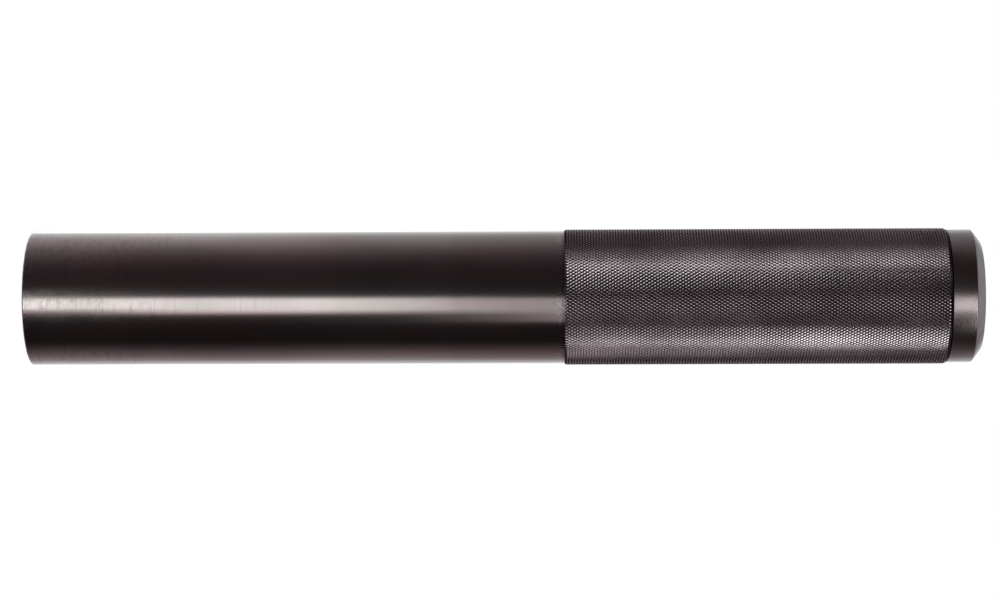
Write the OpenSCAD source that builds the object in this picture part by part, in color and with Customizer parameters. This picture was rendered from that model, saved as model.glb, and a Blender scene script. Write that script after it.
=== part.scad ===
// Crown race setting tool for forks with a 1.5 inch crown.
// It stands on its open working end. The origin is the centre of that end's face, and +Z runs along
// the tube to the face that the hammer strikes. All sizes are in millimetres.

/* [Tube] */
// Bore that passes over the steerer and its 39.8 mm crown race seat
bore_d = 40.3; // [30:0.1:60]
// Wall of the smooth tube
wall = 2.35; // [1.8:0.05:6]
// Length of the tube, from the working face to the cap's collar
tube_l = 311.5; // [250:0.5:360]
// Lead-in chamfer inside the working mouth
mouth_chamfer = 0.5; // [0.2:0.1:0.7]
// Edge break round the outside of the working end
edge_break = 0.4; // [0.2:0.1:0.6]

/* [Knurled grip] */
// Length of the grip, which ends with the tube's upper end
grip_l = 129.5; // [60:0.5:145]
// Number of diamonds round the tube
knurl_teeth = 50; // [24:2:54]
// Pitch of the diamonds along the tube
knurl_pitch = 4.8; // [4.6:0.1:12]
// Height of the rolled crests above the smooth tube
crest_rise = 0.54; // [0.4:0.02:0.8]
// Depth of the knurl's grooves, from the crests
groove_depth = 0.46; // [0.2:0.02:0.6]
// Length of the chamfer that ends the grip at the cap
grip_chamfer = 1.3; // [0.8:0.1:3]

/* [Striking cap] */
// Length of the cap outside the tube
cap_l = 11.5; // [9:0.5:30]
// Chamfer of the striking face, measured along the cap
face_chamfer_l = 3.1; // [1:0.1:5]
// Chamfer of the striking face, measured across the cap
face_chamfer_w = 4.1; // [1:0.1:8]
// Radius that blends the chamfer's two edges
face_edge_r = 0.8; // [0.2:0.1:1.2]
// Edge break where the collar meets the grip
collar_break = 0.3; // [0.1:0.1:0.6]
// Length of the spigot inside the tube
spigot_l = 25; // [10:0.5:60]
// Depth of the machined spigot seat in the wall of the bore
seat_step = 0.5; // [0.3:0.05:0.8]
// Lead-in chamfers of the spigot and of its seat
spigot_chamfer = 0.8; // [0.4:0.1:1.5]

/* [Fits] */
// Clearance all round between the spigot and its seat
spigot_clearance = 0.02; // [0.01:0.01:0.1]
// Gap between the spigot's end and the shoulder of its seat
shoulder_gap = 0.5; // [0.2:0.1:2]

/* [Hidden] */
$fn = 120;

bore_r = bore_d / 2;
tube_r = bore_r + wall;
seat_r = bore_r + seat_step;
spigot_r = seat_r - spigot_clearance;
seat_z = tube_l - spigot_l - shoulder_gap;
seat_lead = spigot_chamfer / 2;

// The knurl is a lattice of half pitches. Crests and groove crossings alternate round each ring
// and from ring to ring, so every crest stands in a diamond of four flanks.
crest_r = tube_r + crest_rise;
valley_r = crest_r - groove_depth;
grip_z = tube_l - grip_l;
knurl_rings = 2 * round(grip_l / knurl_pitch);
ring_step = grip_l / knurl_rings;
ring_points = 2 * knurl_teeth;
point_angle = 360 / ring_points;

// Plain core under the knurl. The knurl's root reaches into it, clear of the flanks above.
core_cover = 0.2;
root_depth = 0.5;
core_r = valley_r * cos(point_angle / 2) - core_cover;
root_r = core_r - root_depth;

// How far the chamfer at the grip's end goes below the smooth tube, and the cutter's overrun
chamfer_drop = 0.05;
cut_over = 1;

// Points of the arc that rounds corner b between a and c
corner_steps = 5;
function unit(v) = v / norm(v);
function rounded(a, b, c, r) =
    let (
        u = unit(a - b),
        w = unit(c - b),
        half = acos(u * w) / 2,
        centre = b + unit(u + w) * r / sin(half),
        from = b + u * r / tan(half) - centre,
        to = b + w * r / tan(half) - centre
    )
    [for (i = [0 : corner_steps]) centre + r * unit(from + (to - from) * i / corner_steps)];

// Smooth tube with its mouth, its bore and the seat for the spigot
module tube_body() {
    rotate_extrude()
        polygon([
            [bore_r + mouth_chamfer, 0],
            [tube_r - edge_break, 0],
            [tube_r, edge_break],
            [tube_r, grip_z],
            [core_r, grip_z],
            [core_r, tube_l],
            [seat_r + seat_lead, tube_l],
            [seat_r, tube_l - seat_lead],
            [seat_r, seat_z],
            [bore_r, seat_z],
            [bore_r, mouth_chamfer]
        ]);
}

// Ring of diamonds round the grip
function on_ring(r, i, z) = [r * cos(i * point_angle), r * sin(i * point_angle), z];
function knurl_index(i, k) = k * ring_points + (i + ring_points) % ring_points;
function is_crest(i, k) = (i + k) % 2 == 0;

module knurl() {
    last = ring_points - 1;
    root_low = (knurl_rings + 1) * ring_points;
    root_high = root_low + ring_points;
    outer = [
        for (k = [0 : knurl_rings], i = [0 : last])
            on_ring(is_crest(i, k) ? crest_r : valley_r, i, grip_z + k * ring_step)
    ];
    root = [for (z = [grip_z, tube_l], i = [0 : last]) on_ring(root_r, i, z)];
    flanks = [
        for (k = [0 : knurl_rings], i = [0 : last], side = [-1, 1], rise = [-1, 1])
            let (
                crest = knurl_index(i, k),
                beside = knurl_index(i + side, k),
                beyond = knurl_index(i, k + rise)
            )
            if (is_crest(i, k) && k + rise >= 0 && k + rise <= knurl_rings)
                side == rise ? [crest, beyond, beside] : [crest, beside, beyond]
    ];
    ends_and_root = [
        for (i = [0 : last])
            let (
                next = (i + 1) % ring_points,
                low = knurl_index(i, 0),
                low_next = knurl_index(next, 0),
                high = knurl_index(i, knurl_rings),
                high_next = knurl_index(next, knurl_rings)
            )
            each [
                [low, low_next, root_low + next, root_low + i],
                [high, root_high + i, root_high + next, high_next],
                [root_low + i, root_low + next, root_high + next, root_high + i]
            ]
    ];
    polyhedron(concat(outer, root), concat(flanks, ends_and_root), convexity = 6);
}

// Cone that trims the grip's upper end down to just under the smooth tube
module grip_end_cut() {
    end_r = tube_r - chamfer_drop;
    slope = grip_chamfer / (crest_r - end_r);
    rotate_extrude()
        polygon([
            [end_r, tube_l],
            [crest_r + cut_over, tube_l - grip_chamfer - cut_over * slope],
            [crest_r + cut_over, tube_l + cut_over],
            [end_r, tube_l + cut_over]
        ]);
}

module tube() {
    color("#3a3335")
        difference() {
            union() {
                tube_body();
                knurl();
            }
            grip_end_cut();
        }
}

module striking_cap() {
    top_z = tube_l + cap_l;
    face_r = tube_r - face_chamfer_w;
    collar_top = [tube_r, top_z - face_chamfer_l];
    face_rim = [face_r, top_z];
    collar_low = [tube_r, tube_l + collar_break];
    face_centre = [0, top_z];
    color("#4c4546")
        rotate_extrude()
            polygon(concat(
                [
                    [0, tube_l - spigot_l],
                    [spigot_r - spigot_chamfer, tube_l - spigot_l],
                    [spigot_r, tube_l - spigot_l + spigot_chamfer],
                    [spigot_r, tube_l],
                    [tube_r - collar_break, tube_l],
                    collar_low
                ],
                rounded(collar_low, collar_top, face_rim, face_edge_r),
                rounded(collar_top, face_rim, face_centre, face_edge_r),
                [face_centre]
            ));
}

tube();
striking_cap();
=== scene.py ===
"""Crown race setting tool: a burnished steel tube with a knurled grip and a pressed-in striking cap.

The tool stands on its open working end, and the camera is rolled so that the striking cap points right.
"""

import math

import bmesh
import bpy
from mathutils import Matrix, Vector


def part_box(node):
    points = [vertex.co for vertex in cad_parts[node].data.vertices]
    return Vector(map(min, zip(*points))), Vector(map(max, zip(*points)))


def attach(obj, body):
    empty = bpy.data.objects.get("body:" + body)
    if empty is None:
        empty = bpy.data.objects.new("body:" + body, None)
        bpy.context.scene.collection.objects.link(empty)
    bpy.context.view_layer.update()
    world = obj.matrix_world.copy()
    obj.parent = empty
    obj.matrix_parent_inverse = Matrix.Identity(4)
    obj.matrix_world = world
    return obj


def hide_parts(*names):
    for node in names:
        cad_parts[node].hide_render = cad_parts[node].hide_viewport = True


bl_info = {
    "name": "Crown race setting tool",
    "version": (1, 0, 0),
    "blender": (4, 5, 0),
    "location": "View3D > Sidebar > Race Tool",
    "description": "Models the tool's turned tube, knurled grip and striking cap, and sets its studio",
    "category": "Object",
}

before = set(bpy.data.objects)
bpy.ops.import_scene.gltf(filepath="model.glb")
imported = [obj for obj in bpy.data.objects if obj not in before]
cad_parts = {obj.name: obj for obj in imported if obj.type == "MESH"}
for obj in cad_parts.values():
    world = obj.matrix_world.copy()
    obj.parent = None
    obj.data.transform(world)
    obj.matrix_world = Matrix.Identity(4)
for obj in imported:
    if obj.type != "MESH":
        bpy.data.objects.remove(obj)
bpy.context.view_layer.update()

MM = 0.001
TUBE_LOW, TUBE_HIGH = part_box("tube")
CAP_LOW, CAP_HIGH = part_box("striking_cap")
# Dark oxide in the joint between the grip and the cap, with painted shade in the crease there.
JOINT_OXIDE_AND_SHADE = (0.02, 0.016, 0.017)


class TubeSizes(bpy.types.PropertyGroup):
    """Sizes of the turned tube"""

    radius: bpy.props.FloatProperty(
        name="Tube radius",
        description="Outside radius of the smooth tube, the same as the cap's collar",
        default=CAP_HIGH.x,
        unit="LENGTH",
    )
    bore_radius: bpy.props.FloatProperty(
        name="Bore radius",
        description="Radius of the bore that passes over the steerer",
        default=20.15 * MM,
        unit="LENGTH",
    )
    length: bpy.props.FloatProperty(
        name="Length",
        description="Length of the tube, up to the cap's collar",
        default=TUBE_HIGH.z,
        unit="LENGTH",
    )
    mouth_chamfer: bpy.props.FloatProperty(
        name="Mouth chamfer",
        description="Lead-in chamfer inside the working mouth",
        default=0.5 * MM,
        unit="LENGTH",
    )
    edge_break: bpy.props.FloatProperty(
        name="Edge break",
        description="Edge break round the outside of the working end",
        default=0.4 * MM,
        unit="LENGTH",
    )
    seat_step: bpy.props.FloatProperty(
        name="Seat step",
        description="How far the cap's seat is cut into the wall of the bore",
        default=0.5 * MM,
        unit="LENGTH",
    )
    seat_depth: bpy.props.FloatProperty(
        name="Seat depth",
        description="Depth of the cap's seat below the tube's upper end",
        default=TUBE_HIGH.z - CAP_LOW.z + 0.5 * MM,
        unit="LENGTH",
    )
    seat_lead: bpy.props.FloatProperty(
        name="Seat lead-in",
        description="Chamfer at the mouth of the cap's seat",
        default=0.4 * MM,
        unit="LENGTH",
    )


class KnurlSizes(bpy.types.PropertyGroup):
    """Sizes of the rolled diamond knurl"""

    length: bpy.props.FloatProperty(
        name="Grip length",
        description="Length of the knurled grip, which ends with the tube",
        default=129.5 * MM,
        unit="LENGTH",
    )
    crest_radius: bpy.props.FloatProperty(
        name="Crest radius",
        description="Radius over the knurl's crests",
        default=TUBE_HIGH.x,
        unit="LENGTH",
    )
    around: bpy.props.IntProperty(
        name="Diamonds around",
        description="Number of diamonds in each ring of the knurl",
        default=126,
        min=12,
    )
    rows: bpy.props.IntProperty(
        name="Diamonds along",
        description="Number of diamonds along the grip",
        default=69,
        min=4,
    )
    depth: bpy.props.FloatProperty(
        name="Groove depth",
        description="Depth of the grooves below the crests",
        default=0.315 * MM,
        unit="LENGTH",
    )
    flank: bpy.props.FloatProperty(
        name="Flank width",
        description="Width of each diamond's sloping flanks, seen from above",
        default=0.31 * MM,
        unit="LENGTH",
    )
    chamfer: bpy.props.FloatProperty(
        name="End chamfer",
        description="Length of the chamfer that ends the grip at the cap",
        default=1.3 * MM,
        unit="LENGTH",
    )
    chamfer_drop: bpy.props.FloatProperty(
        name="Chamfer drop",
        description="How far the end chamfer goes below the smooth tube",
        default=0.05 * MM,
        unit="LENGTH",
    )
    crest_rounding: bpy.props.FloatProperty(
        name="Crest rounding",
        description="How much each flank's shading eases off towards the crest",
        default=math.radians(10),
        subtype="ANGLE",
    )
    groove_sharpness: bpy.props.FloatProperty(
        name="Groove sharpness",
        description="How much each flank's shading steepens towards the groove",
        default=math.radians(3),
        subtype="ANGLE",
    )
    crest_dome: bpy.props.FloatProperty(
        name="Crest dome",
        description="How much each crest's shading falls away towards its corners",
        default=math.radians(11),
        subtype="ANGLE",
    )
    lean: bpy.props.FloatProperty(
        name="Pattern lean",
        description="Turn of the diamonds' columns over the length of the grip",
        default=math.radians(-3.4),
        subtype="ANGLE",
    )


class CapSizes(bpy.types.PropertyGroup):
    """Sizes of the striking cap"""

    face_chamfer_length: bpy.props.FloatProperty(
        name="Face chamfer, along",
        description="Chamfer of the striking face, measured along the cap",
        default=3.1 * MM,
        unit="LENGTH",
    )
    face_chamfer_width: bpy.props.FloatProperty(
        name="Face chamfer, across",
        description="Chamfer of the striking face, measured across the cap",
        default=4.1 * MM,
        unit="LENGTH",
    )
    edge_rounding: bpy.props.FloatProperty(
        name="Edge rounding",
        description="Width of the rounding on the face chamfer's two edges",
        default=0.35 * MM,
        unit="LENGTH",
    )
    collar_break: bpy.props.FloatProperty(
        name="Collar break",
        description="Edge break where the collar meets the grip",
        default=0.3 * MM,
        unit="LENGTH",
    )
    spigot_clearance: bpy.props.FloatProperty(
        name="Spigot clearance",
        description="Clearance all round between the spigot and its seat",
        default=0.02 * MM,
        unit="LENGTH",
    )
    spigot_chamfer: bpy.props.FloatProperty(
        name="Spigot chamfer",
        description="Lead-in chamfer of the spigot",
        default=0.8 * MM,
        unit="LENGTH",
    )


class Finishes(bpy.types.PropertyGroup):
    """Colours of the burnished steel"""

    tube_colour: bpy.props.FloatVectorProperty(
        name="Tube",
        description="Colour of the burnished tube",
        default=(0.265, 0.238, 0.24),
        subtype="COLOR",
    )
    brown_tint: bpy.props.FloatVectorProperty(
        name="Brown tint",
        description="Colour of the brown clouds that the burnishing left",
        default=(0.284, 0.23, 0.228),
        subtype="COLOR",
    )
    olive_tint: bpy.props.FloatVectorProperty(
        name="Olive tint",
        description="Colour of the olive grey clouds that the burnishing left",
        default=(0.25, 0.234, 0.222),
        subtype="COLOR",
    )
    worn_colour: bpy.props.FloatVectorProperty(
        name="Worn steel",
        description="Colour of the steel where the burnishing is scuffed or rubbed off",
        default=(0.36, 0.33, 0.328),
        subtype="COLOR",
    )
    flank_colour: bpy.props.FloatVectorProperty(
        name="Knurl flanks",
        description="Colour of the flanks along the knurl's right-hand grooves",
        default=(0.4, 0.368, 0.376),
        subtype="COLOR",
    )
    # Painted shade: the left-hand grooves' flanks are darker than the right-hand ones, standing in for the
    # glints they lack.
    painted_shade_flank_colour: bpy.props.FloatVectorProperty(
        name="Dull flanks",
        description="Colour of the flanks along the left-hand grooves, which keep more oxide",
        default=(0.19, 0.173, 0.178),
        subtype="COLOR",
    )
    # Painted shade, darkest: the left-hand grooves' flanks that face up the tool, towards the cap.
    painted_deep_shade_flank_colour: bpy.props.FloatVectorProperty(
        name="Matt flanks",
        description="Colour of the left-hand grooves' lower sides, which the wheel left matt",
        default=(0.1, 0.087, 0.092),
        subtype="COLOR",
    )
    crest_colour: bpy.props.FloatVectorProperty(
        name="Knurl crests",
        description="Colour of the flat crests, which the hand has browned",
        default=(0.28, 0.235, 0.245),
        subtype="COLOR",
    )
    groove_colour: bpy.props.FloatVectorProperty(
        name="Knurl grooves",
        description="Colour of the oxide in the knurl's grooves",
        default=(0.085, 0.061, 0.071),
        subtype="COLOR",
    )
    cap_colour: bpy.props.FloatVectorProperty(
        name="Cap",
        description="Colour of the striking cap's collar",
        default=(0.22, 0.19, 0.19),
        subtype="COLOR",
    )
    face_colour: bpy.props.FloatVectorProperty(
        name="Striking face",
        description="Colour of the striking face and its chamfer",
        default=(0.35, 0.33, 0.332),
        subtype="COLOR",
    )


def clear_selection():
    """Leaves nothing selected, so that an operator acts only on the new piece."""
    bpy.ops.object.select_all(action="DESELECT")


def turned_piece(name, section, steps):
    """Draws a closed half section point by point and spins it round the tool's axis."""
    clear_selection()
    bpy.ops.mesh.primitive_plane_add(size=MM)
    piece = bpy.context.object
    piece.name = name
    piece.data.name = name
    bpy.ops.object.mode_set(mode="EDIT")
    bpy.ops.mesh.select_mode(type="VERT")
    bpy.ops.mesh.select_all(action="SELECT")
    bpy.ops.mesh.merge(type="CENTER")
    points = [Vector((radius, 0, height)) for radius, height in section]
    bpy.ops.transform.translate(value=points[0])
    for here, there in zip(points, points[1:] + points[:1]):
        bpy.ops.mesh.extrude_region_move(TRANSFORM_OT_translate={"value": there - here})
    bpy.ops.mesh.select_all(action="SELECT")
    bpy.ops.mesh.remove_doubles(threshold=MM / 1000)
    bpy.ops.mesh.select_all(action="SELECT")
    bpy.ops.mesh.spin(steps=steps, angle=math.tau, center=(0, 0, 0), axis=(0, 0, 1))
    bpy.ops.mesh.select_all(action="SELECT")
    bpy.ops.mesh.remove_doubles(threshold=MM / 1000)
    bpy.ops.mesh.normals_make_consistent(inside=False)
    bpy.ops.mesh.select_all(action="DESELECT")
    return piece


def edit_mesh(piece):
    """The piece's mesh in edit mode, with its tables ready."""
    shape = bmesh.from_edit_mesh(piece.data)
    for table in (shape.verts, shape.edges, shape.faces):
        table.ensure_lookup_table()
        table.index_update()
    return shape


def radius_of(point):
    """Distance of a point from the tool's axis."""
    return math.hypot(point.x, point.y)


def select_rings(piece, rings):
    """Selects the edges that run round the tool at the given pairs of radius and height."""
    bpy.ops.mesh.select_mode(type="EDGE")
    shape = edit_mesh(piece)
    near = 0.02 * MM
    for edge in shape.edges:
        for radius, height in rings:
            if all(
                abs(radius_of(v.co) - radius) < near and abs(v.co.z - height) < near
                for v in edge.verts
            ):
                edge.select_set(True)
    bmesh.update_edit_mesh(piece.data)


def finish_piece(piece, angle):
    """Leaves edit mode, shades the piece smooth between its real edges and seats it on the body."""
    bpy.ops.object.mode_set(mode="OBJECT")
    clear_selection()
    piece.select_set(True)
    bpy.context.view_layer.objects.active = piece
    bpy.ops.object.shade_smooth_by_angle(angle=angle)
    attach(piece, "root")


def add_node(tree, kind, inputs=(), **settings):
    """Adds a node with its settings, and links or sets each of its named inputs."""
    node = tree.nodes.new("ShaderNode" + kind)
    for name, value in settings.items():
        setattr(node, name, value)
    for name, value in dict(inputs).items():
        if isinstance(value, bpy.types.NodeSocket):
            tree.links.new(value, node.inputs[name])
        else:
            node.inputs[name].default_value = value
    return node


def steel(name, roughness):
    """A bare metal with its tree, its shader and the place on the tool that patterns follow."""
    material = bpy.data.materials.new(name)
    material.use_nodes = True
    tree = material.node_tree
    shader = tree.nodes["Principled BSDF"]
    shader.inputs["Metallic"].default_value = 1
    shader.inputs["Roughness"].default_value = roughness
    place = add_node(tree, "TexCoord").outputs["Object"]
    return material, tree, shader, place


def clouds(tree, place, around, along, detail=2, roughness=0.5):
    """Noise with its grain set apart for round the tool and along it, in grains per metre."""
    stretched = add_node(tree, "Mapping", {"Vector": place, "Scale": (around, around, along)})
    inputs = {"Vector": stretched.outputs[0], "Scale": 1, "Detail": detail, "Roughness": roughness}
    return add_node(tree, "TexNoise", inputs).outputs["Fac"]


def ramp(tree, factor, *stops):
    """Colour ramp from pairs of position and colour."""
    node = add_node(tree, "ValToRGB", {"Fac": factor})
    elements = node.color_ramp.elements
    while len(elements) < len(stops):
        elements.new(1)
    for element, (position, colour) in zip(elements, stops):
        element.position = position
        element.color = (*colour, 1)
    return node.outputs["Color"]


def rescale(tree, value, low, high, to_low=0, to_high=1):
    """Maps a value's range smoothly to another one."""
    inputs = {
        "Value": value,
        "From Min": low,
        "From Max": high,
        "To Min": to_low,
        "To Max": to_high,
    }
    return add_node(tree, "MapRange", inputs, interpolation_type="SMOOTHSTEP").outputs[0]


def mixed(tree, factor, first, second):
    """Mix of two colours."""
    node = add_node(tree, "Mix", data_type="RGBA")
    for index, value in ((0, factor), (6, first), (7, second)):
        if isinstance(value, bpy.types.NodeSocket):
            tree.links.new(value, node.inputs[index])
        elif index == 0:
            node.inputs[index].default_value = value
        else:
            node.inputs[index].default_value = (*value, 1)
    return node.outputs[2]


def product(tree, first, second):
    """Product of two values."""
    node = add_node(tree, "Math", operation="MULTIPLY")
    for index, value in enumerate((first, second)):
        if isinstance(value, bpy.types.NodeSocket):
            tree.links.new(value, node.inputs[index])
        else:
            node.inputs[index].default_value = value
    return node.outputs[0]


def shaded(tree, colour, level):
    """A colour made lighter or darker by a level round 1."""
    node = add_node(tree, "VectorMath", {0: colour, "Scale": level}, operation="SCALE")
    return node.outputs[0]


def total(tree, first, second):
    """Sum of two values."""
    node = add_node(tree, "Math", operation="ADD")
    tree.links.new(first, node.inputs[0])
    tree.links.new(second, node.inputs[1])
    return node.outputs[0]


def radius_and_height(tree, place):
    """Distance from the tool's axis, and height above the working end."""
    flat = add_node(tree, "VectorMath", {0: place, 1: (1, 1, 0)}, operation="MULTIPLY")
    radius = add_node(tree, "VectorMath", {0: flat.outputs[0]}, operation="LENGTH")
    height = add_node(tree, "SeparateXYZ", {0: place})
    return radius.outputs["Value"], height.outputs["Z"]


def bump(tree, shader, height, depth):
    """Relief of a given depth in metres."""
    node = add_node(tree, "Bump", {"Height": height, "Strength": 1, "Distance": depth})
    tree.links.new(node.outputs[0], shader.inputs["Normal"])


def burnished_clouds(tree, place, finishes):
    """Brown and olive clouds of the burnishing, drawn out along the tool."""
    tint = ramp(
        tree,
        clouds(tree, place, 150, 26, 2, 0.5),
        (0.36, finishes.brown_tint),
        (0.5, finishes.tube_colour),
        (0.64, finishes.olive_tint),
    )
    shade = rescale(tree, clouds(tree, place, 40, 22, 1), 0.3, 0.7, 0.88, 1.12)
    return shaded(tree, tint, shade)


def tube_steel():
    """Smooth burnished steel of the tube's front, scuffed towards the working end."""
    finishes = bpy.context.scene.race_tool_finishes
    material, tree, shader, place = steel("burnished_tube", 0.2)
    height = radius_and_height(tree, place)[1]
    colour = burnished_clouds(tree, place, finishes)
    near_mouth = rescale(tree, height, 0.025, 0.06, 1, 0.12)

    scuffs = rescale(tree, clouds(tree, place, 300, 480, 3, 0.6), 0.46, 0.66)
    scuffed = product(tree, scuffs, near_mouth)
    colour = mixed(tree, product(tree, scuffed, 0.28), colour, (0.15, 0.125, 0.125))
    # Darker from 141 mm up: partly the burnishing's own tone, partly painted shade where the long highlight
    # fades.
    colour = shaded(tree, colour, rescale(tree, height, 0.141, 0.147, 1, 0.9))
    spots = rescale(tree, clouds(tree, place, 500, 900, 3), 0.6, 0.7)
    spotted = product(tree, product(tree, spots, near_mouth), 0.4)
    colour = mixed(tree, spotted, colour, finishes.worn_colour)
    nicks = rescale(tree, clouds(tree, place, 1300, 700, 2), 0.5, 0.56)
    rim = product(tree, nicks, rescale(tree, height, 0.0002, 0.0009, 0.7, 0))
    colour = mixed(tree, rim, colour, (0.6, 0.57, 0.56))

    rings = clouds(tree, place, 60, 1500, 1)
    ring_lines = product(tree, rescale(tree, rings, 0.6, 0.7), rescale(tree, height, 0.05, 0.1, 0.8, 0.2))
    colour = mixed(tree, product(tree, ring_lines, 0.35), colour, (0.16, 0.13, 0.13))

    speckles = rescale(tree, clouds(tree, place, 800, 900, 3), 0.52, 0.62)
    at_grip = product(tree, speckles, rescale(tree, height, 0.1775, 0.1835, 0, 0.8))
    colour = mixed(tree, at_grip, colour, (0.46, 0.43, 0.43))
    # Painted shade: a narrow dark band on the tube at the foot of the grip's step.
    painted_step_shade = rescale(tree, height, 0.1806, 0.1816)
    colour = mixed(tree, product(tree, painted_step_shade, 0.6), colour, (0.12, 0.09, 0.1))
    tree.links.new(colour, shader.inputs["Base Color"])
    rough = rescale(tree, scuffed, 0, 1, 0.18, 0.21)
    tree.links.new(rough, shader.inputs["Roughness"])
    bump(tree, shader, total(tree, product(tree, rings, 0.4), product(tree, scuffed, 0.45)), 0.0000035)
    return material


def grip_steel(name, flank_colour):
    """Burnished steel of the knurl: oxide in the grooves, bright flanks and browned crests."""
    finishes = bpy.context.scene.race_tool_finishes
    knurl = bpy.context.scene.race_tool_knurl
    material, tree, shader, place = steel(name, 0.22)
    radius, height = radius_and_height(tree, place)
    groove = knurl.crest_radius - knurl.depth
    level = add_node(
        tree, "MapRange", {"Value": radius, "From Min": groove, "From Max": knurl.crest_radius}
    ).outputs[0]
    colour = ramp(
        tree,
        level,
        (0.0, finishes.groove_colour),
        (0.65, flank_colour),
        (0.9, flank_colour),
        (0.98, finishes.crest_colour),
    )
    # The grip's last 1.2 mm darken into the joint: the dark joint line, and painted shade that dulls the
    # chamfer's glints.
    in_joint = rescale(tree, height, TUBE_HIGH.z - 1.2 * MM, TUBE_HIGH.z - 0.3 * MM)
    colour = mixed(tree, in_joint, colour, JOINT_OXIDE_AND_SHADE)
    shade = rescale(tree, clouds(tree, place, 90, 60, 2), 0.3, 0.7, 0.85, 1.15)
    tree.links.new(shaded(tree, colour, shade), shader.inputs["Base Color"])
    tree.links.new(rescale(tree, level, 0, 0.9, 0.27, 0.15), shader.inputs["Roughness"])
    return material


def cap_steel():
    """Turned and burnished steel of the striking cap, with a brighter face."""
    finishes = bpy.context.scene.race_tool_finishes
    cap = bpy.context.scene.race_tool_cap
    material, tree, shader, place = steel("burnished_cap", 0.27)
    radius, height = radius_and_height(tree, place)
    rim = CAP_HIGH.z - cap.face_chamfer_length
    on_face = rescale(tree, height, rim - 0.2 * MM, rim + 0.2 * MM)
    colour = mixed(tree, on_face, finishes.cap_colour, finishes.face_colour)
    joint = TUBE_HIGH.z + cap.collar_break
    # A thin dark line where the collar meets the grip: the dark joint, with painted shade in the crease.
    in_joint = rescale(tree, height, joint, joint + 0.15 * MM, 1, 0)
    colour = mixed(tree, in_joint, colour, JOINT_OXIDE_AND_SHADE)
    shade = rescale(tree, clouds(tree, place, 130, 90, 2), 0.3, 0.7, 0.85, 1.12)
    tree.links.new(shaded(tree, colour, shade), shader.inputs["Base Color"])
    along = product(tree, total(tree, radius, height), 2600)
    marks = add_node(tree, "TexNoise", {"W": along, "Scale": 1, "Detail": 2}, noise_dimensions="1D")
    bump(tree, shader, marks.outputs["Fac"], 0.000012)
    return material


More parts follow.
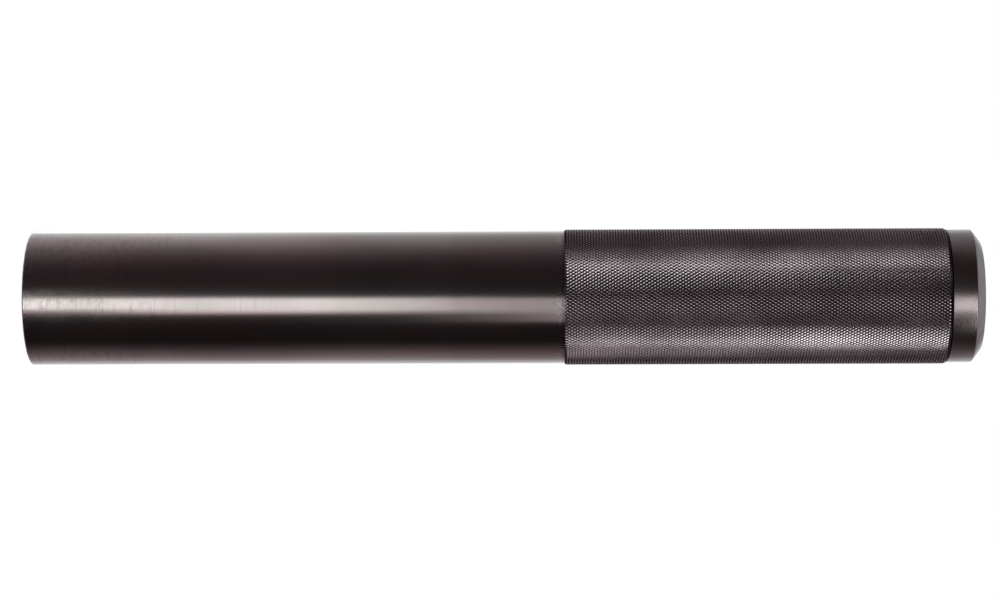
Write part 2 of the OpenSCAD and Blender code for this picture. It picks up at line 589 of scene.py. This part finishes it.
class RACETOOL_OT_tube(bpy.types.Operator):
    """Turn the tube and roll the diamond knurl into its grip"""

    bl_idname = "race_tool.tube"
    bl_label = "Tube with knurled grip"

    def execute(self, context):
        sizes = context.scene.race_tool_tube
        knurl = context.scene.race_tool_knurl
        valley = knurl.crest_radius - knurl.depth
        grip_low = sizes.length - knurl.length
        seat_radius = sizes.bore_radius + sizes.seat_step
        seat_low = sizes.length - sizes.seat_depth
        tube = turned_piece(
            "knurled_tube",
            [
                (sizes.bore_radius + sizes.mouth_chamfer, 0),
                (sizes.radius - sizes.edge_break, 0),
                (sizes.radius, sizes.edge_break),
                (sizes.radius, grip_low),
                (valley, grip_low),
                (valley, sizes.length),
                (seat_radius + sizes.seat_lead, sizes.length),
                (seat_radius, sizes.length - sizes.seat_lead),
                (seat_radius, seat_low),
                (sizes.bore_radius, seat_low),
                (sizes.bore_radius, sizes.mouth_chamfer),
            ],
            knurl.around,
        )
        self.roll_knurl(tube, knurl, grip_low, valley)
        self.chamfer_grip(tube, knurl, sizes)
        finish_piece(tube, math.radians(25))
        self.ease_flanks(tube, knurl, grip_low, sizes.length)
        finishes = context.scene.race_tool_finishes
        tube.data.materials.append(tube_steel())
        tube.data.materials.append(grip_steel("burnished_grip", finishes.flank_colour))
        # The two darker copies of the grip steel paint shade on the left-hand grooves' flanks.
        tube.data.materials.append(grip_steel("burnished_grip_painted_shade", finishes.painted_shade_flank_colour))
        tube.data.materials.append(grip_steel("burnished_grip_painted_deep_shade", finishes.painted_deep_shade_flank_colour))
        for face in tube.data.polygons:
            centre = face.center
            if radius_of(centre) < sizes.radius + 0.02 * MM or centre.z < grip_low:
                continue
            around = Vector((-centre.y, centre.x, 0)).normalized()
            # Painted shade on the left-hand grooves' flanks, darkest on those that face up the tool.
            left_hand = face.normal.z * face.normal.dot(around) < -0.01
            if left_hand:
                face.material_index = 3 if face.normal.z > 0 else 2
            else:
                face.material_index = 1
        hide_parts("tube")
        return {"FINISHED"}

    def roll_knurl(self, tube, knurl, low, valley):
        """Cuts the grip into a lattice of diamonds and raises a flat-topped crest on each."""
        bpy.ops.mesh.select_mode(type="EDGE")
        shape = edit_mesh(tube)
        for edge in shape.edges:
            a, b = (v.co for v in edge.verts)
            on_grip = all(abs(radius_of(p) - valley) < 0.02 * MM for p in (a, b))
            edge.select_set(on_grip and abs(a.z - b.z) > knurl.length / 2)
        bmesh.update_edit_mesh(tube.data)
        bpy.ops.mesh.subdivide(number_cuts=knurl.rows - 1)
        bpy.ops.mesh.select_all(action="DESELECT")

        bpy.ops.mesh.select_mode(type="FACE")
        shape = edit_mesh(tube)
        for face in shape.faces:
            face.select_set(
                all(abs(radius_of(v.co) - valley) < 0.02 * MM for v in face.verts)
                and abs(face.normal.z) < 0.5
            )
        old_edges = len(shape.edges)
        bmesh.update_edit_mesh(tube.data)
        chord_drop = valley * (1 - math.cos(math.pi / knurl.around))
        bpy.ops.mesh.poke(offset=chord_drop)

        shape = edit_mesh(tube)
        flats = {face.index for face in shape.faces if face.select}
        bpy.ops.mesh.select_all(action="DESELECT")
        bpy.ops.mesh.select_mode(type="EDGE")
        shape = edit_mesh(tube)
        for edge in shape.edges[:old_edges]:
            edge.select_set(
                len(edge.link_faces) == 2 and all(f.index in flats for f in edge.link_faces)
            )
        bmesh.update_edit_mesh(tube.data)
        bpy.ops.mesh.dissolve_edges(use_verts=False)

        bpy.ops.mesh.select_all(action="DESELECT")
        bpy.ops.mesh.select_mode(type="FACE")
        shape = edit_mesh(tube)
        for face in shape.faces:
            face.select_set(
                all(abs(radius_of(v.co) - valley) < 0.02 * MM for v in face.verts)
                and abs(face.normal.z) < 0.5
                and not (len(face.verts) == 3 and face.calc_center_median().z < low + 1 * MM)
            )
        bmesh.update_edit_mesh(tube.data)
        bpy.ops.mesh.inset(thickness=knurl.flank, depth=knurl.depth, use_individual=True)
        self.open_first_row(tube, low, valley)

    def open_first_row(self, tube, low, valley):
        """Sinks the half diamonds of the first row to the smooth tube, so that the knurl starts in points."""
        smooth = bpy.context.scene.race_tool_tube.radius
        near = 0.02 * MM
        bpy.ops.mesh.select_all(action="DESELECT")
        shape = edit_mesh(tube)
        for face in shape.faces:
            face.select_set(
                len(face.verts) == 3
                and face.calc_center_median().z < low + 1 * MM
                and all(abs(radius_of(v.co) - valley) < near for v in face.verts)
            )
        bmesh.update_edit_mesh(tube.data)
        bpy.ops.mesh.inset(thickness=0, depth=smooth - valley, use_individual=True)
        shape = edit_mesh(tube)
        for face in shape.faces:
            if face.select:
                for vertex in face.verts:
                    flat = Vector((vertex.co.x, vertex.co.y, 0)).normalized() * smooth
                    vertex.co = flat + Vector((0, 0, vertex.co.z))
        for face in shape.faces:
            face.select_set(all(abs(v.co.z - low) < near for v in face.verts))
        bmesh.update_edit_mesh(tube.data)
        bpy.ops.mesh.delete(type="FACE")
        bpy.ops.mesh.select_all(action="SELECT")
        bpy.ops.mesh.remove_doubles(threshold=near / 4)
        bpy.ops.mesh.select_all(action="DESELECT")

    def chamfer_grip(self, tube, knurl, sizes):
        """Rounds off the grip's upper end and leans the knurl's columns."""
        end_radius = sizes.radius - knurl.chamfer_drop
        rise = knurl.crest_radius - end_radius
        grip_low = sizes.length - knurl.length
        shape = edit_mesh(tube)
        for vertex in shape.verts:
            point = vertex.co
            radius = radius_of(point)
            if radius < sizes.radius + 0.02 * MM or point.z < grip_low - 0.02 * MM:
                continue
            inward = min((sizes.length - point.z) / knurl.chamfer, 1)
            limit = end_radius + rise * (1 - (1 - inward) ** 2)
            turn = knurl.lean * (point.z - grip_low) / knurl.length
            flat = Vector((point.x, point.y, 0)) * (min(radius, limit) / radius)
            vertex.co = Matrix.Rotation(turn, 3, "Z") @ flat + Vector((0, 0, point.z))
        bmesh.update_edit_mesh(tube.data)

    def ease_flanks(self, tube, knurl, low, high):
        """Shades each flank as the rolled metal lies: steep in the groove, rounding over to the crest."""
        mesh = tube.data
        middle = knurl.crest_radius - knurl.depth / 2
        normals = [corner.vector.copy() for corner in mesh.corner_normals]
        for face in mesh.polygons:
            radii = [radius_of(mesh.vertices[index].co) for index in face.vertices]
            if not low < face.center.z < high or max(radii) < middle:
                continue
            outward = Vector((face.center.x, face.center.y, 0)).normalized()
            if min(radii) > middle and face.center.z > high - knurl.chamfer:
                continue
            if min(radii) > middle:
                for corner, index in zip(face.loop_indices, face.vertices):
                    offset = mesh.vertices[index].co - face.center
                    across = (offset - outward * offset.dot(outward)).normalized()
                    dome = knurl.crest_dome
                    normals[corner] = outward * math.cos(dome) + across * math.sin(dome)
                continue
            slope = outward.angle(face.normal)
            across = (face.normal - outward * math.cos(slope)).normalized()
            for corner, radius in zip(face.loop_indices, radii):
                in_groove = radius < middle
                change = knurl.groove_sharpness if in_groove else -knurl.crest_rounding
                eased = slope + change
                normals[corner] = outward * math.cos(eased) + across * math.sin(eased)
        mesh.normals_split_custom_set(normals)


class RACETOOL_OT_cap(bpy.types.Operator):
    """Turn the striking cap with its spigot, collar and chamfered face"""

    bl_idname = "race_tool.cap"
    bl_label = "Striking cap"

    def execute(self, context):
        tube = context.scene.race_tool_tube
        sizes = context.scene.race_tool_cap
        top = CAP_HIGH.z
        bottom = CAP_LOW.z
        spigot = tube.bore_radius + tube.seat_step - sizes.spigot_clearance
        rim_low = (tube.radius, top - sizes.face_chamfer_length)
        rim_high = (tube.radius - sizes.face_chamfer_width, top)
        cap = turned_piece(
            "striking_cap_dressed",
            [
                (0, bottom),
                (spigot - sizes.spigot_chamfer, bottom),
                (spigot, bottom + sizes.spigot_chamfer),
                (spigot, tube.length),
                (tube.radius - sizes.collar_break, tube.length),
                (tube.radius, tube.length + sizes.collar_break),
                rim_low,
                rim_high,
                (0, top),
            ],
            192,
        )
        select_rings(cap, [rim_low, rim_high])
        bpy.ops.mesh.bevel(offset=sizes.edge_rounding, segments=3)
        finish_piece(cap, math.radians(25))
        cap.data.materials.append(cap_steel())
        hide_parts("striking_cap")
        return {"FINISHED"}


# Softboxes a metre in front of the tool: from and to across it, from and to along it, radiance, colour
NEUTRAL = (1, 1, 1)
PINK = (1, 0.82, 0.84)
SOFTBOXES = (
    ("softbox_foot", (0.12, 0.34), (-0.42, -0.26), 7.8, NEUTRAL),
    ("softbox_foot_deep", (0.12, 0.34), (-0.6, -0.42), 2.8, NEUTRAL),
    ("softbox_foot_wide", (0.34, 0.54), (-0.56, -0.34), 4.2, NEUTRAL),
    ("softbox_foot_rise", (-0.22, 0.12), (-0.42, -0.26), 4.6, NEUTRAL),
    ("softbox_foot_low", (-0.3, 0.12), (-0.66, -0.42), 1.5, NEUTRAL),
    ("softbox_end", (-0.02, 0.32), (-0.25, -0.11), 2.75, NEUTRAL),
    ("softbox_end_edge", (0.32, 0.42), (-0.25, -0.11), 0.7, PINK),
    ("softbox_low", (-0.01, 0.4), (-0.11, 0), 3, NEUTRAL),
    ("softbox_low_edge", (0.4, 0.5), (-0.11, 0.08), 2.2, PINK),
    ("softbox_step", (0.01, 0.4), (0, 0.09), 3.45, NEUTRAL),
    ("softbox_grip", (0.03, 0.52), (0.14, 0.34), 1.2, NEUTRAL),
    ("softbox_grip_side", (0.52, 0.92), (0.18, 0.38), 1.5, NEUTRAL),
    ("softbox_high", (0.05, 0.5), (0.34, 0.7), 2.4, NEUTRAL),
    ("softbox_top", (0.14, 0.6), (0.72, 1.12), 4.1, NEUTRAL),
    ("softbox_top_side", (0.6, 1.3), (0.85, 1.4), 3.4, NEUTRAL),
    ("softbox_top_far", (1.3, 1.9), (1, 1.7), 2.4, NEUTRAL),
)
STUDIO_CENTRE = Vector((0, 0, CAP_HIGH.z / 2))
CAMERA_DISTANCE = 1.0484
CAMERA_LENS = 110.54
CAMERA_YAW = -0.02141
CAMERA_ROLL = 0.00362
CAMERA_OFFSET = (1.5 * MM, 0.9 * MM)


class RACETOOL_OT_studio(bpy.types.Operator):
    """Set the pale floor, the soft lights, the surroundings and the camera"""

    bl_idname = "race_tool.studio"
    bl_label = "Studio"

    def execute(self, context):
        context.scene.view_settings.view_transform = "Standard"
        self.add_floor()
        self.add_surroundings(context.scene)
        for name, across, upright, radiance, colour in SOFTBOXES:
            self.add_softbox(name, across, upright, radiance, colour)
        self.add_camera(context.scene)
        return {"FINISHED"}

    def add_floor(self):
        clear_selection()
        bpy.ops.mesh.primitive_plane_add(size=30)
        floor = bpy.context.object
        floor.name = "studio_floor"
        floor.visible_glossy = False
        floor.visible_shadow = False
        material = bpy.data.materials.new("white_floor")
        material.use_nodes = True
        tree = material.node_tree
        shader = tree.nodes["Principled BSDF"]
        shader.inputs["Base Color"].default_value = (0.8, 0.8, 0.8, 1)
        shader.inputs["Roughness"].default_value = 1
        shader.inputs["Specular IOR Level"].default_value = 0
        shader.inputs["Emission Color"].default_value = (1, 1, 1, 1)
        path = tree.nodes.new("ShaderNodeLightPath")
        level = tree.nodes.new("ShaderNodeMath")
        level.operation = "MULTIPLY"
        level.inputs[1].default_value = 0.75
        tree.links.new(path.outputs["Is Camera Ray"], level.inputs[0])
        tree.links.new(level.outputs[0], shader.inputs["Emission Strength"])
        floor.data.materials.append(material)

    def add_surroundings(self, scene):
        """White behind the tool, falling off to a dim warm room on the camera's side."""
        world = bpy.data.worlds.new("studio")
        scene.world = world
        world.use_nodes = True
        tree = world.node_tree
        where = add_node(tree, "TexCoord").outputs["Generated"]
        axes = add_node(tree, "SeparateXYZ", {0: where}).outputs
        behind = add_node(tree, "MapRange", {"Value": axes["Y"], "From Min": -1}).outputs[0]
        upper = ramp(
            tree,
            behind,
            (0, (0.05, 0.039, 0.041)),
            (0.2, (0.08, 0.06, 0.065)),
            (0.35, (0.155, 0.122, 0.129)),
            (0.5, (0.315, 0.268, 0.28)),
            (0.7, (0.65, 0.61, 0.62)),
            (0.9, (1, 1, 1)),
        )
        lower = ramp(
            tree,
            behind,
            (0, (0.022, 0.016, 0.017)),
            (0.45, (0.03, 0.022, 0.023)),
            (0.58, (0.135, 0.104, 0.112)),
            (0.76, (0.43, 0.35, 0.37)),
            (0.87, (0.65, 0.58, 0.6)),
            (0.96, (1, 1, 1)),
        )
        upper = shaded(tree, upper, rescale(tree, axes["Z"], -0.13, -0.05, 1.04, 0.7))
        side = rescale(tree, axes["X"], -0.3, 0.4)
        room = mixed(tree, side, upper, lower)
        room = mixed(tree, rescale(tree, behind, 0.87, 0.98), room, (1, 1, 1))
        far = add_node(tree, "Math", {0: axes["Z"]}, operation="ABSOLUTE").outputs[0]
        room = shaded(tree, room, rescale(tree, far, 0.2, 0.55, 1, 0.62))
        in_front = rescale(tree, axes["Y"], -0.1, 0.3, 1, 0)
        ends = product(tree, rescale(tree, far, 0.35, 0.6), in_front)
        room = mixed(tree, ends, room, (0.076, 0.053, 0.06))
        overhead = rescale(tree, axes["Z"], 0.6, 0.95, 0, 0.8)
        room = mixed(tree, overhead, room, (0.62, 0.61, 0.61))
        path = add_node(tree, "LightPath")
        seen = mixed(tree, path.outputs["Is Camera Ray"], room, (1, 1, 1))
        tree.links.new(seen, tree.nodes["Background"].inputs["Color"])

    def add_softbox(self, name, across, upright, radiance, colour):
        """A softbox a metre in front of the tool, from one place to another in the view's plane."""
        left, right = across
        low, high = upright
        light = bpy.data.lights.new(name, "AREA")
        light.shape = "RECTANGLE"
        light.size = right - left
        light.size_y = high - low
        light.energy = radiance * math.pi * light.size * light.size_y
        light.color = colour
        lamp = bpy.data.objects.new(name, light)
        lamp.location = ((left + right) / 2, -1, (low + high) / 2)
        lamp.rotation_euler = (math.radians(90), 0, 0)
        lamp.visible_camera = False
        bpy.context.scene.collection.objects.link(lamp)

    def add_camera(self, scene):
        """The photograph's camera: level, rolled a quarter turn so that up the tool is to the right."""
        data = bpy.data.cameras.new("camera")
        data.lens = CAMERA_LENS
        camera = bpy.data.objects.new("camera", data)
        scene.collection.objects.link(camera)
        scene.camera = camera
        to_picture = Matrix(((0, 0, 1, 0), (-1, 0, 0, 0), (0, -1, 0, 0), (0, 0, 0, 1)))
        to_camera = (
            Matrix.Translation((*CAMERA_OFFSET, -CAMERA_DISTANCE))
            @ Matrix.Rotation(CAMERA_ROLL, 4, "Z")
            @ Matrix.Rotation(CAMERA_YAW, 4, "Y")
            @ to_picture
            @ Matrix.Translation(-STUDIO_CENTRE)
        )
        camera.matrix_world = to_camera.inverted()


class RACETOOL_PT_panel(bpy.types.Panel):
    """Lists the tool's pieces and their sizes"""

    bl_idname = "RACETOOL_PT_panel"
    bl_label = "Race Tool"
    bl_space_type = "VIEW_3D"
    bl_region_type = "UI"
    bl_category = "Race Tool"

    def draw(self, context):
        for group in GROUPS:
            box = self.layout.box()
            sizes = getattr(context.scene, group)
            for name in sizes.bl_rna.properties.keys():
                if name not in {"rna_type", "name"}:
                    box.prop(sizes, name)
        for operator in OPERATORS:
            self.layout.operator(operator.bl_idname)


GROUPS = {
    "race_tool_tube": TubeSizes,
    "race_tool_knurl": KnurlSizes,
    "race_tool_cap": CapSizes,
    "race_tool_finishes": Finishes,
}
OPERATORS = (RACETOOL_OT_tube, RACETOOL_OT_cap, RACETOOL_OT_studio)


def register():
    for kind in (*GROUPS.values(), *OPERATORS, RACETOOL_PT_panel):
        bpy.utils.register_class(kind)
    for name, group in GROUPS.items():
        setattr(bpy.types.Scene, name, bpy.props.PointerProperty(type=group))


def unregister():
    for name in GROUPS:
        delattr(bpy.types.Scene, name)
    for kind in reversed((*GROUPS.values(), *OPERATORS, RACETOOL_PT_panel)):
        bpy.utils.unregister_class(kind)


def main():
    register()
    bpy.ops.race_tool.tube()
    bpy.ops.race_tool.cap()
    bpy.ops.race_tool.studio()


if __name__ == "__main__":
    main()
